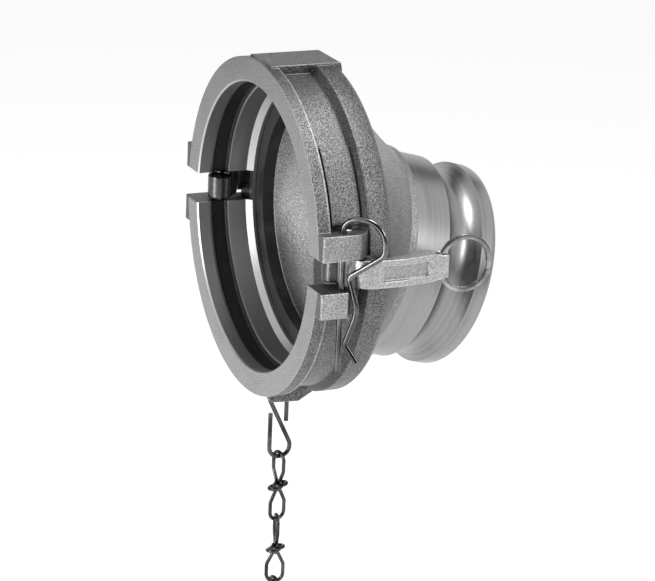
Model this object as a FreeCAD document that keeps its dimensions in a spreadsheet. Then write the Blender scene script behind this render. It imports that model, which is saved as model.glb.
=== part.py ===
import FreeCAD, Part
import math
import os
import re
import Sketcher

# Cam and groove elbow adapter, in millimetres.
# The origin is the centre of the socket's mouth. +Y runs into the socket, +Z is up along the pivot pins,
# and X runs across the two locking arms. The small end bends down towards -Z.

doc = FreeCAD.newDocument("elbow_adapter")
sheet = doc.addObject("Spreadsheet::Sheet", "sizes")

# Socket ring
sheet.set("A1", "outer radius of the socket ring")
sheet.set("B1", "97.7")
sheet.setAlias("B1", "ring_radius")
sheet.set("A2", "width of the front rim")
sheet.set("B2", "7.6")
sheet.setAlias("B2", "rim_width")
sheet.set("A3", "depth of the relief behind the rim")
sheet.set("B3", "4")
sheet.setAlias("B3", "pocket_depth")
sheet.set("A4", "end of the relief's floor")
sheet.set("B4", "26.5")
sheet.setAlias("B4", "pocket_end")
sheet.set("A5", "start of the rear band")
sheet.set("B5", "31")
sheet.setAlias("B5", "band_start")
sheet.set("A6", "end of the rear band")
sheet.set("B6", "41")
sheet.setAlias("B6", "band_end")
sheet.set("A7", "end of the rounded shoulder")
sheet.set("B7", "46")
sheet.setAlias("B7", "shoulder_end")
sheet.set("A8", "how far the shoulder falls")
sheet.set("B8", "7.5")
sheet.setAlias("B8", "shoulder_drop")
sheet.set("A9", "radius of the shoulder")
sheet.set("B9", "8")
sheet.setAlias("B9", "shoulder_round")
sheet.set("A10", "radius of the bore at the mouth")
sheet.set("B10", "83.4")
sheet.setAlias("B10", "mouth_radius")
sheet.set("A11", "end of the front land, before the cams")
sheet.set("B11", "7.6")
sheet.setAlias("B11", "mouth_land")
sheet.set("A12", "length of the slope behind the front land")
sheet.set("B12", "3.2")
sheet.setAlias("B12", "land_slope")
sheet.set("A13", "radius of the cast relief in the bore")
sheet.set("B13", "85.4")
sheet.setAlias("B13", "relief_radius")
sheet.set("A14", "end of the cast relief")
sheet.set("B14", "19.6")
sheet.setAlias("B14", "relief_end")
sheet.set("A15", "radius of the rear land")
sheet.set("B15", "82.4")
sheet.setAlias("B15", "rear_land_radius")
sheet.set("A16", "end of the rear land")
sheet.set("B16", "30.7")
sheet.setAlias("B16", "rear_land_end")
sheet.set("A17", "radius of the lip that holds the gasket")
sheet.set("B17", "79.5")
sheet.setAlias("B17", "lip_radius")
sheet.set("A18", "start of the lip")
sheet.set("B18", "34")
sheet.setAlias("B18", "lip_start")
sheet.set("A19", "front of the gasket's seat")
sheet.set("B19", "36")
sheet.setAlias("B19", "seat_front")
sheet.set("A20", "width of the gasket's seat")
sheet.set("B20", "7.5")
sheet.setAlias("B20", "seat_width")
sheet.set("A21", "radius of the gasket's seat")
sheet.set("B21", "85.5")
sheet.setAlias("B21", "seat_radius")

# Gasket
sheet.set("A22", "inner radius of the gasket")
sheet.set("B22", "69.7")
sheet.setAlias("B22", "gasket_inner")
sheet.set("A23", "clearance of the gasket in its seat")
sheet.set("B23", "0.3")
sheet.setAlias("B23", "gasket_slack")

# Lugs, slots and pins
sheet.set("A24", "half height of the arm's slot")
sheet.set("B24", "9.1")
sheet.setAlias("B24", "slot_half")
sheet.set("A25", "front of the raised field")
sheet.set("B25", "9.6")
sheet.setAlias("B25", "field_front")
sheet.set("A26", "rear of the raised field")
sheet.set("B26", "26.8")
sheet.setAlias("B26", "field_rear")
sheet.set("A27", "height of the raised field above the relief")
sheet.set("B27", "1.8")
sheet.setAlias("B27", "field_rise")
sheet.set("A28", "upper edge of the raised field, degrees above +X")
sheet.set("B28", "43")
sheet.setAlias("B28", "field_top")
sheet.set("A29", "angle that the raised field covers")
sheet.set("B29", "27")
sheet.setAlias("B29", "field_span")
sheet.set("A30", "rear end of the slot")
sheet.set("B30", "34")
sheet.setAlias("B30", "slot_end")
sheet.set("A31", "height of each lug")
sheet.set("B31", "14.5")
sheet.setAlias("B31", "lug_height")
sheet.set("A32", "outboard face of the lugs")
sheet.set("B32", "102.7")
sheet.setAlias("B32", "lug_face")
sheet.set("A33", "rounding of the lugs' front corner")
sheet.set("B33", "2")
sheet.setAlias("B33", "lug_round")
sheet.set("A34", "pivot from the middle plane")
sheet.set("B34", "91.5")
sheet.setAlias("B34", "pivot_across")
sheet.set("A35", "pivot behind the front face")
sheet.set("B35", "19")
sheet.setAlias("B35", "pivot_back")
sheet.set("A36", "rear of the lower lug's flat face")
sheet.set("B36", "16.2")
sheet.setAlias("B36", "lower_lug_end")
sheet.set("A37", "radius of the lower lug's boss")
sheet.set("B37", "6.5")
sheet.setAlias("B37", "lower_boss")
sheet.set("A38", "radius of the pivot pin")
sheet.set("B38", "3")
sheet.setAlias("B38", "pin_radius")
sheet.set("A39", "how far the pin stands out of the lugs")
sheet.set("B39", "0.6")
sheet.setAlias("B39", "pin_head")
sheet.set("A40", "clearance of the pin in the arm")
sheet.set("B40", "0.08")
sheet.setAlias("B40", "pin_running")
sheet.set("A41", "clip leg from the middle plane")
sheet.set("B41", "96.5")
sheet.setAlias("B41", "clip_across")
sheet.set("A42", "clip leg behind the front face")
sheet.set("B42", "14.3")
sheet.setAlias("B42", "clip_back")
sheet.set("A43", "clearance of the clip in its holes")
sheet.set("B43", "0.3")
sheet.setAlias("B43", "clip_running")

# Blocks on the ring
sheet.set("A44", "half width of the top block")
sheet.set("B44", "15.5")
sheet.setAlias("B44", "top_half")
sheet.set("A45", "front of the top block")
sheet.set("B45", "3")
sheet.setAlias("B45", "top_front")
sheet.set("A46", "height of the top block")
sheet.set("B46", "100.2")
sheet.setAlias("B46", "top_height")
sheet.set("A47", "rear of the top block")
sheet.set("B47", "50.6")
sheet.setAlias("B47", "top_rear")
sheet.set("A48", "half width of the bottom block")
sheet.set("B48", "10")
sheet.setAlias("B48", "bottom_half")
sheet.set("A49", "front of the bottom block")
sheet.set("B49", "11")
sheet.setAlias("B49", "bottom_front")
sheet.set("A50", "depth of the bottom block")
sheet.set("B50", "105")
sheet.setAlias("B50", "bottom_depth")
sheet.set("A51", "rear of the bottom block's lobe")
sheet.set("B51", "44")
sheet.setAlias("B51", "bottom_lobe")
sheet.set("A52", "front of the chain ear")
sheet.set("B52", "18.3")
sheet.setAlias("B52", "ear_front")
sheet.set("A53", "width of the chain ear")
sheet.set("B53", "6.6")
sheet.setAlias("B53", "ear_width")
sheet.set("A54", "half width of the recess at the ear")
sheet.set("B54", "7.2")
sheet.setAlias("B54", "ear_gap_half")
sheet.set("A55", "depth of the recess's roof below the axis")
sheet.set("B55", "94")
sheet.setAlias("B55", "ear_recess")
sheet.set("A56", "chain hole below the axis")
sheet.set("B56", "100.2")
sheet.setAlias("B56", "ear_hole_drop")

# Cone and small end
sheet.set("A57", "angle of the small end")
sheet.set("B57", "15")
sheet.setAlias("B57", "bend")
sheet.set("A58", "where the two axes cross")
sheet.set("B58", "0.4")
sheet.setAlias("B58", "axis_cross")
sheet.set("A59", "start of the cone")
sheet.set("B59", "44")
sheet.setAlias("B59", "cone_start")
sheet.set("A60", "radius of the cone's base")
sheet.set("B60", "93.4")
sheet.setAlias("B60", "cone_base")
sheet.set("A61", "middle section of the cone, behind the face")
sheet.set("B61", "55.5")
sheet.setAlias("B61", "waist_back")
sheet.set("A62", "middle section of the cone, below the axis")
sheet.set("B62", "9.2")
sheet.setAlias("B62", "waist_drop")
sheet.set("A63", "radius of the cone's middle section")
sheet.set("B63", "74.8")
sheet.setAlias("B63", "waist_radius")
sheet.set("A64", "start of the cast end, along the small axis")
sheet.set("B64", "70")
sheet.setAlias("B64", "cast_start")
sheet.set("A65", "radius of the cast end")
sheet.set("B65", "62.3")
sheet.setAlias("B65", "cast_radius")
sheet.set("A66", "start of the turned end")
sheet.set("B66", "75.5")
sheet.setAlias("B66", "turned_start")
sheet.set("A67", "radius of the turned end")
sheet.set("B67", "59.8")
sheet.setAlias("B67", "turned_radius")
sheet.set("A68", "front edge of the cam groove")
sheet.set("B68", "96.8")
sheet.setAlias("B68", "groove_start")
sheet.set("A69", "rear edge of the cam groove")
sheet.set("B69", "118.6")
sheet.setAlias("B69", "groove_end")
sheet.set("A70", "depth of the cam groove")
sheet.set("B70", "6")
sheet.setAlias("B70", "groove_depth")
sheet.set("A71", "end of the nose's straight part")
sheet.set("B71", "125.1")
sheet.setAlias("B71", "nose_end")
sheet.set("A72", "end of the male end")
sheet.set("B72", "129.4")
sheet.setAlias("B72", "tip_end")
sheet.set("A73", "how far the nose's round falls")
sheet.set("B73", "3.9")
sheet.setAlias("B73", "tip_fall")
sheet.set("A74", "radius of the nose's round")
sheet.set("B74", "4.6")
sheet.setAlias("B74", "tip_round")
sheet.set("A75", "bore of the small end")
sheet.set("B75", "49")
sheet.setAlias("B75", "outlet_radius")
sheet.set("A76", "bore behind the gasket")
sheet.set("B76", "69.6")
sheet.setAlias("B76", "throat_radius")
sheet.set("A77", "bore in the middle of the cone")
sheet.set("B77", "59")
sheet.setAlias("B77", "throat_mid_radius")

# Arms
sheet.set("A78", "height of the arm")
sheet.set("B78", "16")
sheet.setAlias("B78", "arm_height")
sheet.set("A79", "cam centre from the middle plane")
sheet.set("B79", "85")
sheet.setAlias("B79", "cam_across")
sheet.set("A80", "cam centre behind the front face")
sheet.set("B80", "14.9")
sheet.setAlias("B80", "cam_back")
sheet.set("A81", "radius of the cam")
sheet.set("B81", "7.1")
sheet.setAlias("B81", "cam_radius")
sheet.set("A82", "height of the cam")
sheet.set("B82", "13")
sheet.setAlias("B82", "cam_height")
sheet.set("A83", "radius of the arm's knuckle")
sheet.set("B83", "4.85")
sheet.setAlias("B83", "knuckle_radius")
sheet.set("A84", "gap between the arm and the ring")
sheet.set("B84", "0.5")
sheet.setAlias("B84", "arm_gap")
sheet.set("A85", "outboard face of the arm")
sheet.set("B85", "104.4")
sheet.setAlias("B85", "arm_face")
sheet.set("A86", "where the arm starts to lean in")
sheet.set("B86", "49")
sheet.setAlias("B86", "arm_bend_back")
sheet.set("A87", "outboard face at the tip")
sheet.set("B87", "100.9")
sheet.setAlias("B87", "arm_tip_face")
sheet.set("A88", "start of the arm's tip")
sheet.set("B88", "70")
sheet.setAlias("B88", "arm_tip_back")
sheet.set("A89", "end of the arm")
sheet.set("B89", "78.6")
sheet.setAlias("B89", "arm_end")
sheet.set("A90", "height of the arm at its end")
sheet.set("B90", "12.6")
sheet.setAlias("B90", "arm_end_height")
sheet.set("A91", "thickness of the arm's tip")
sheet.set("B91", "8.8")
sheet.setAlias("B91", "tip_thick")
sheet.set("A92", "bottom of the arm's recessed panel")
sheet.set("B92", "102")
sheet.setAlias("B92", "panel_face")
sheet.set("A93", "front of the panel")
sheet.set("B93", "36.6")
sheet.setAlias("B93", "panel_start")
sheet.set("A94", "rear of the panel")
sheet.set("B94", "64.8")
sheet.setAlias("B94", "panel_end")
sheet.set("A95", "half height of the panel at the front")
sheet.set("B95", "4.5")
sheet.setAlias("B95", "panel_half_front")
sheet.set("A96", "half height of the panel at the rear")
sheet.set("B96", "4.1")
sheet.setAlias("B96", "panel_half_rear")

# Pull rings
sheet.set("A97", "pull ring from the middle plane")
sheet.set("B97", "96.5")
sheet.setAlias("B97", "pull_across")
sheet.set("A98", "eye of the arm behind the face")
sheet.set("B98", "73.7")
sheet.setAlias("B98", "pull_eye_back")
sheet.set("A99", "outer radius of the pull ring")
sheet.set("B99", "16.75")
sheet.setAlias("B99", "pull_outer")
sheet.set("A100", "width of the pull ring's band")
sheet.set("B100", "2.6")
sheet.setAlias("B100", "pull_wire")
sheet.set("A101", "radius of the eye in the arm")
sheet.set("B101", "2.6")
sheet.setAlias("B101", "eye_radius")
sheet.set("A102", "radius of the eye's flared mouth")
sheet.set("B102", "4.4")
sheet.setAlias("B102", "eye_mouth")
sheet.set("A103", "height where the eye starts to flare")
sheet.set("B103", "4")
sheet.setAlias("B103", "eye_flare")

# Hairpin clips
sheet.set("A104", "radius of the clip's wire")
sheet.set("B104", "1.65")
sheet.setAlias("B104", "clip_wire")
sheet.set("A105", "angle of the clip's plane")
sheet.set("B105", "45")
sheet.setAlias("B105", "clip_plane")
sheet.set("A106", "length of the straight leg below the axis")
sheet.set("B106", "56")
sheet.setAlias("B106", "clip_bottom")
sheet.set("A107", "height of the clip's hoop")
sheet.set("B107", "32.4")
sheet.setAlias("B107", "clip_top")
sheet.set("A108", "height where the straight leg leans into the hoop")
sheet.set("B108", "28")
sheet.setAlias("B108", "clip_shoulder")
sheet.set("A109", "reach of the leaning part")
sheet.set("B109", "6")
sheet.setAlias("B109", "clip_shoulder_out")
sheet.set("A110", "radius of the hoop")
sheet.set("B110", "12.3")
sheet.setAlias("B110", "hoop_radius")
sheet.set("A111", "height where the hoop turns in")
sheet.set("B111", "13.8")
sheet.setAlias("B111", "hoop_low")
sheet.set("A112", "neck of the wavy leg from the straight leg")
sheet.set("B112", "4.4")
sheet.setAlias("B112", "neck_out")
sheet.set("A113", "height of the neck")
sheet.set("B113", "-1.2")
sheet.setAlias("B113", "neck_height")
sheet.set("A114", "belly of the wavy leg")
sheet.set("B114", "10.2")
sheet.setAlias("B114", "belly_out")
sheet.set("A115", "height of the belly")
sheet.set("B115", "-20")
sheet.setAlias("B115", "belly_height")
sheet.set("A116", "where the wavy leg pinches in")
sheet.set("B116", "3.6")
sheet.setAlias("B116", "pinch_out")
sheet.set("A117", "height of the pinch")
sheet.set("B117", "-40")
sheet.setAlias("B117", "pinch_height")
sheet.set("A118", "end of the wavy leg")
sheet.set("B118", "11.1")
sheet.setAlias("B118", "flare_out")
sheet.set("A119", "height of the wavy leg's end")
sheet.set("B119", "-49.6")
sheet.setAlias("B119", "flare_height")

# Chain
sheet.set("A120", "radius of the hook's wire")
sheet.set("B120", "1.3")
sheet.setAlias("B120", "hook_wire")
sheet.set("A121", "radius of the hook's upper loop")
sheet.set("B121", "5.4")
sheet.setAlias("B121", "hook_loop")
sheet.set("A122", "radius of the hook's lower loop")
sheet.set("B122", "6.4")
sheet.setAlias("B122", "hook_lower_loop")
sheet.set("A123", "height between the hook's wire centres")
sheet.set("B123", "43")
sheet.setAlias("B123", "hook_length")
sheet.set("A124", "room for the hook's bend in the ear")
sheet.set("B124", "1.4")
sheet.setAlias("B124", "hook_play")
sheet.set("A125", "radius of the link's wire")
sheet.set("B125", "1.1")
sheet.setAlias("B125", "link_wire")
sheet.set("A126", "outer length of a link")
sheet.set("B126", "44.6")
sheet.setAlias("B126", "link_length")
sheet.set("A127", "outer width of a link's loop")
sheet.set("B127", "12.2")
sheet.setAlias("B127", "link_width")
sheet.set("A128", "half distance of the wires at the waist")
sheet.set("B128", "1.3")
sheet.setAlias("B128", "link_waist")
sheet.set("A129", "clearance between neighbouring links")
sheet.set("B129", "0.12")
sheet.setAlias("B129", "link_play")
sheet.set("A130", "radius of the knot's turns")
sheet.set("B130", "3.7")
sheet.setAlias("B130", "knot_radius")
sheet.set("A131", "how far each turn of the knot stands to one side")
sheet.set("B131", "1.5")
sheet.setAlias("B131", "knot_shift")
sheet.set("A132", "distance between the knot's turns")
sheet.set("B132", "2.6")
sheet.setAlias("B132", "knot_pitch")
sheet.set("A133", "tilt of the knot's turns")
sheet.set("B133", "12")
sheet.setAlias("B133", "knot_tilt")
sheet.set("A134", "turn of the first link about the chain")
sheet.set("B134", "13")
sheet.setAlias("B134", "twist_1")
sheet.set("A135", "turn of the second link")
sheet.set("B135", "-12")
sheet.setAlias("B135", "twist_2")
sheet.set("A136", "turn of the third link")
sheet.set("B136", "8")
sheet.setAlias("B136", "twist_3")
sheet.set("A137", "turn of the fourth link")
sheet.set("B137", "-10")
sheet.setAlias("B137", "twist_4")
sheet.set("A138", "turn of the fifth link")
sheet.set("B138", "5")
sheet.setAlias("B138", "twist_5")
doc.recompute()
names = []
while sheet.getAlias("B%d" % (len(names) + 1)):
    names.append(sheet.getAlias("B%d" % (len(names) + 1)))


def bind(text):
    return re.sub(r"[a-z][a-z_0-9]*", lambda m: "sizes." + m.group(0) if m.group(0) in names else m.group(0), text)


def val(text):
    return float(sheet.evalExpression(bind(text)))


def vec(x, y, z):
    return FreeCAD.Vector(x, y, z)


def body(name):
    made = doc.addObject("PartDesign::Body", name)
    made.Label = name
    return made


def sketch(owner, name, plane, x="0", y="0", z="0", axis=None, turn="0"):
    made = owner.newObject("Sketcher::SketchObject", name)
    planes = {feature.Role: feature for feature in owner.Origin.OriginFeatures}
    made.AttachmentSupport = [(planes[plane], "")]
    made.MapMode = "FlatFace"
    if axis is not None:
        made.AttachmentOffset = FreeCAD.Placement(vec(0, 0, 0), FreeCAD.Rotation(axis, 1))
        made.setExpression("AttachmentOffset.Rotation.Angle", bind(turn))
    made.setExpression("AttachmentOffset.Base.x", bind(x))
    made.setExpression("AttachmentOffset.Base.y", bind(y))
    made.setExpression("AttachmentOffset.Base.z", bind(z))
    return made


def pin_down(made, edge, end, x, y):
    # Fixes one corner of a sketch by its two distances from the sketch's origin.
    if x == "0":
        made.addConstraint(Sketcher.Constraint("PointOnObject", edge, end, -2))
    else:
        index = made.addConstraint(Sketcher.Constraint("DistanceX", -1, 1, edge, end, val(x)))
        made.setExpression("Constraints[%d]" % index, bind(x))
    if y == "0":
        made.addConstraint(Sketcher.Constraint("PointOnObject", edge, end, -1))
    else:
        index = made.addConstraint(Sketcher.Constraint("DistanceY", -1, 1, edge, end, val(y)))
        made.setExpression("Constraints[%d]" % index, bind(y))


def outline(made, corners, arcs=None):
    # Draws a closed profile. An arc's radius is positive where its centre lies to the left of the way round.
    arcs = arcs or {}
    points = [vec(val(x), val(y), 0) for x, y in corners]
    count = len(points)
    first = made.GeometryCount
    ends = []
    for i in range(count):
        a = points[i]
        b = points[(i + 1) % count]
        if i not in arcs:
            made.addGeometry(Part.LineSegment(a, b), False)
            ends.append((1, 2))
            continue
        radius = abs(val(arcs[i]))
        left = val(arcs[i]) > 0
        half = (b - a) * 0.5
        side = vec(-half.y, half.x, 0).normalize() * (1 if left else -1)
        centre = a + half + side * math.sqrt(max(radius ** 2 - half.Length ** 2, 0))
        start = math.atan2(a.y - centre.y, a.x - centre.x)
        stop = math.atan2(b.y - centre.y, b.x - centre.x)
        circle = Part.Circle(centre, vec(0, 0, 1), radius)
        if left:
            made.addGeometry(Part.ArcOfCircle(circle, start, stop), False)
            ends.append((1, 2))
        else:
            made.addGeometry(Part.ArcOfCircle(circle, stop, start), False)
            ends.append((2, 1))
    for i in range(count):
        after = (i + 1) % count
        made.addConstraint(Sketcher.Constraint("Coincident", first + i, ends[i][1], first + after, ends[after][0]))
    for i in range(count):
        pin_down(made, first + i, ends[i][0], corners[i][0], corners[i][1])
    for i, text in arcs.items():
        text = text.lstrip("-")
        index = made.addConstraint(Sketcher.Constraint("Radius", first + i, val(text)))
        made.setExpression("Constraints[%d]" % index, bind(text))


def disc(made, x, y, radius):
    edge = made.addGeometry(Part.Circle(vec(val(x), val(y), 0), vec(0, 0, 1), val(radius)), False)
    pin_down(made, edge, 3, x, y)
    index = made.addConstraint(Sketcher.Constraint("Radius", edge, val(radius)))
    made.setExpression("Constraints[%d]" % index, bind(radius))


def pad(owner, made, length, name):
    feature = owner.newObject("PartDesign::Pad", name)
    feature.Profile = (made, [""])
    feature.setExpression("Length", bind(length))
    return feature


def thick_pad(owner, made, length, name):
    feature = pad(owner, made, length, name)
    feature.SideType = "Symmetric"
    return feature


def cut(owner, made, length, name, both=True, back=False):
    feature = owner.newObject("PartDesign::Pocket", name)
    feature.Profile = (made, [""])
    feature.setExpression("Length", bind(length))
    if both:
        feature.SideType = "Symmetric"
    feature.Reversed = back
    return feature


def spin(owner, made, kind, name, axis="H_Axis"):
    feature = owner.newObject("PartDesign::" + kind, name)
    feature.Profile = (made, [""])
    feature.ReferenceAxis = (made, [axis])
    feature.Angle = 360
    return feature


def mirror(owner, features, plane, name):
    feature = owner.newObject("PartDesign::Mirrored", name)
    feature.Originals = features
    planes = {part.Role: part for part in owner.Origin.OriginFeatures}
    feature.MirrorPlane = (planes[plane], [""])
    owner.Tip = feature
    return feature


about_x = vec(1, 0, 0)
about_y = vec(0, 1, 0)
about_z = vec(0, 0, 1)

# Elbow casting: the socket ring is turned about +Y.
casting = body("elbow_casting")
ring = sketch(casting, "ring_profile", "YZ_Plane")
outline(ring, [
    ("0", "0"),
    ("0", "ring_radius"),
    ("rim_width", "ring_radius"),
    ("rim_width + 0.6", "ring_radius - pocket_depth"),
    ("pocket_end", "ring_radius - pocket_depth"),
    ("band_start", "ring_radius"),
    ("band_end", "ring_radius"),
    ("shoulder_end", "ring_radius - shoulder_drop"),
    ("shoulder_end", "0"),
], {6: "-shoulder_round"})
spin(casting, ring, "Revolution", "ring")

# The upper lug has a round boss about the pivot, the lower lug a flat face that ends short of it.
upper = sketch(casting, "upper_lug_profile", "XY_Plane", z="slot_half")
outline(upper, [
    ("ring_radius * 0.75", "0"),
    ("lug_face - lug_round", "0"),
    ("lug_face", "lug_round"),
    ("lug_face", "pivot_back"),
    ("pivot_across", "pivot_back + lug_face - pivot_across"),
    ("ring_radius * 0.75", "pivot_back + lug_face - pivot_across"),
], {1: "lug_round", 3: "lug_face - pivot_across"})
upper_lug = pad(casting, upper, "lug_height", "upper_lug")
lower = sketch(casting, "lower_lug_profile", "XY_Plane", z="-slot_half - lug_height")
outline(lower, [
    ("ring_radius * 0.75", "0"),
    ("lug_face - lug_round", "0"),
    ("lug_face", "lug_round"),
    ("lug_face", "lower_lug_end"),
    ("pivot_across + lower_boss", "lower_lug_end"),
    ("pivot_across + lower_boss", "pivot_back"),
    ("pivot_across", "pivot_back + lower_boss"),
    ("ring_radius * 0.75", "pivot_back + lower_boss"),
], {1: "lug_round", 5: "lower_boss"})
lower_lug = pad(casting, lower, "lug_height", "lower_lug")
mirror(casting, [upper_lug, lower_lug], "YZ_Plane", "far_lugs")

# A bare raised field stands in the relief above the near lugs.
field = sketch(casting, "field_profile", "XY_Plane", axis=about_y, turn="-field_top")
outline(field, [
    ("ring_radius * 0.9", "field_front"),
    ("ring_radius - pocket_depth + field_rise", "field_front"),
    ("ring_radius - pocket_depth + field_rise", "field_rear"),
    ("ring_radius * 0.9", "field_rear"),
])
patch = spin(casting, field, "Revolution", "raised_field", axis="V_Axis")
patch.setExpression("Angle", bind("field_span"))

# Top block and bottom block run along the ring.
top = sketch(casting, "top_block_profile", "YZ_Plane")
outline(top, [
    ("top_front", "ring_radius * 0.87"),
    ("top_rear", "ring_radius * 0.82"),
    ("top_rear", "top_height - 11"),
    ("top_rear - 5.6", "top_height - 1.5"),
    ("top_front", "top_height"),
], {2: "9"})
thick_pad(casting, top, "top_half * 2", "top_block")
bottom = sketch(casting, "bottom_block_profile", "YZ_Plane")
outline(bottom, [
    ("bottom_front", "-ring_radius * 0.87"),
    ("bottom_front", "-bottom_depth + 2"),
    ("bottom_front + 2", "-bottom_depth"),
    ("bottom_lobe - 14", "-bottom_depth - 0.8"),
    ("bottom_lobe - 2.5", "-bottom_depth + 6"),
    ("bottom_lobe", "-bottom_depth + 12"),
    ("bottom_lobe", "-ring_radius * 0.87"),
])
thick_pad(casting, bottom, "bottom_half * 2", "bottom_block")

# The cone leans over towards the small end through three round sections.
base = sketch(casting, "cone_base_section", "XZ_Plane", z="-cone_start")
disc(base, "0", "0", "cone_base")
waist = sketch(casting, "cone_waist_section", "XZ_Plane", y="-waist_drop", z="-waist_back", axis=about_x,
               turn="-bend / 3")
disc(waist, "0", "0", "waist_radius")
neck = sketch(casting, "cone_neck_section", "XZ_Plane", y="-cast_start * sin(bend)",
              z="-axis_cross - cast_start * cos(bend)", axis=about_x, turn="-bend")
disc(neck, "0", "0", "cast_radius")
cone = casting.newObject("PartDesign::AdditiveLoft", "cone")
cone.Profile = (base, [""])
cone.Sections = [(waist, [""]), (neck, [""])]

# The male end is turned about its own leaning axis.
male = sketch(casting, "male_end_profile", "YZ_Plane", x="axis_cross", axis=about_z, turn="-bend")
outline(male, [
    ("cast_start - 4", "0"),
    ("cast_start - 4", "cast_radius * 0.9"),
    ("cast_start", "cast_radius"),
    ("turned_start - 1", "cast_radius"),
    ("turned_start", "turned_radius"),
    ("groove_start", "turned_radius"),
    ("groove_end", "turned_radius"),
    ("nose_end", "turned_radius"),
    ("tip_end", "turned_radius - tip_fall"),
    ("tip_end", "0"),
], {
    5: "((groove_end - groove_start) ^ 2 / 4 + groove_depth ^ 2) / (2 * groove_depth)",
    7: "-tip_round",
})
spin(casting, male, "Revolution", "male_end")

# The socket's bore with its two lands, the cast relief, the lip and the gasket's seat
bore = sketch(casting, "socket_bore_profile", "YZ_Plane")
outline(bore, [
    ("-1", "0"),
    ("-1", "mouth_radius + 0.8"),
    ("0", "mouth_radius + 0.8"),
    ("0.8", "mouth_radius"),
    ("mouth_land", "mouth_radius"),
    ("mouth_land + land_slope", "relief_radius"),
    ("relief_end - 1.2", "relief_radius"),
    ("relief_end", "rear_land_radius"),
    ("rear_land_end", "rear_land_radius"),
    ("lip_start", "lip_radius"),
    ("seat_front", "lip_radius"),
    ("seat_front", "seat_radius"),
    ("seat_front + seat_width", "seat_radius"),
    ("seat_front + seat_width", "0"),
])
spin(casting, bore, "Groove", "socket_bore")

# The throat inside the cone follows its outer form.
throat = sketch(casting, "throat_section", "XZ_Plane", z="-seat_front - seat_width + 0.5")
disc(throat, "0", "0", "throat_radius")
throat_mid = sketch(casting, "throat_mid_section", "XZ_Plane", y="-waist_drop - 1", z="-waist_back", axis=about_x,
                    turn="-bend / 3")
disc(throat_mid, "0", "0", "throat_mid_radius")
throat_end = sketch(casting, "throat_end_section", "XZ_Plane", y="-(cast_start - 2) * sin(bend)",
                    z="-axis_cross - (cast_start - 2) * cos(bend)", axis=about_x, turn="-bend")
disc(throat_end, "0", "0", "outlet_radius")
inside = casting.newObject("PartDesign::SubtractiveLoft", "throat")
inside.Profile = (throat, [""])
inside.Sections = [(throat_mid, [""]), (throat_end, [""])]
outlet = sketch(casting, "outlet_profile", "YZ_Plane", x="axis_cross", axis=about_z, turn="-bend")
outline(outlet, [
    ("cast_start - 3", "0"),
    ("cast_start - 3", "outlet_radius"),
    ("tip_end - 1.5", "outlet_radius"),
    ("tip_end", "outlet_radius + 1.5"),
    ("tip_end + 1", "outlet_radius + 1.5"),
    ("tip_end + 1", "0"),
])
spin(casting, outlet, "Groove", "outlet")

# One pass across the ring opens both slots.
slots = sketch(casting, "slot_profile", "XY_Plane")
outline(slots, [
    ("-lug_face - 2", "-1"),
    ("lug_face + 2", "-1"),
    ("lug_face + 2", "slot_end"),
    ("-lug_face - 2", "slot_end"),
])
cut(casting, slots, "slot_half * 2", "slots")

# Pin holes and clip holes go through both lugs of each side.
pins = sketch(casting, "pin_holes", "XY_Plane")
disc(pins, "pivot_across", "pivot_back", "pin_radius")
disc(pins, "-pivot_across", "pivot_back", "pin_radius")
disc(pins, "clip_across", "clip_back", "clip_wire + clip_running")
disc(pins, "-clip_across", "clip_back", "clip_wire + clip_running")
cut(casting, pins, "(slot_half + lug_height) * 2 + 2", "lug_holes")

# The bottom block is recessed before and behind the ear, and the ear is drilled along +Y.
recess = sketch(casting, "ear_recess_profile", "XZ_Plane", z="-bottom_front + 1")
outline(recess, [
    ("-ear_gap_half", "-bottom_depth - 3"),
    ("ear_gap_half", "-bottom_depth - 3"),
    ("ear_gap_half", "-ear_recess"),
    ("-ear_gap_half", "-ear_recess"),
])
front_recess = cut(casting, recess, "ear_front - bottom_front + 1", "front_recess", both=False)
behind = sketch(casting, "rear_recess_profile", "XZ_Plane", z="-ear_front - ear_width")
outline(behind, [
    ("-ear_gap_half", "-bottom_depth - 3"),
    ("ear_gap_half", "-bottom_depth - 3"),
    ("ear_gap_half", "-ear_recess"),
    ("-ear_gap_half", "-ear_recess"),
])
rear_recess = cut(casting, behind, "ear_width", "rear_recess", both=False)
drill = sketch(casting, "ear_hole_profile", "XZ_Plane", z="-ear_front - ear_width / 2")
disc(drill, "0", "-ear_hole_drop", "hook_wire + hook_play")
cut(casting, drill, "ear_width + 4", "ear_hole")

# Face gasket, held in its seat behind the lip
gasket = body("face_gasket")
section = sketch(gasket, "gasket_profile", "YZ_Plane")
outline(section, [
    ("seat_front + gasket_slack", "gasket_inner"),
    ("seat_front + gasket_slack", "seat_radius - gasket_slack"),
    ("seat_front + seat_width", "seat_radius - gasket_slack"),
    ("seat_front + seat_width", "gasket_inner"),
])
spin(gasket, section, "Revolution", "gasket_ring")

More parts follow.
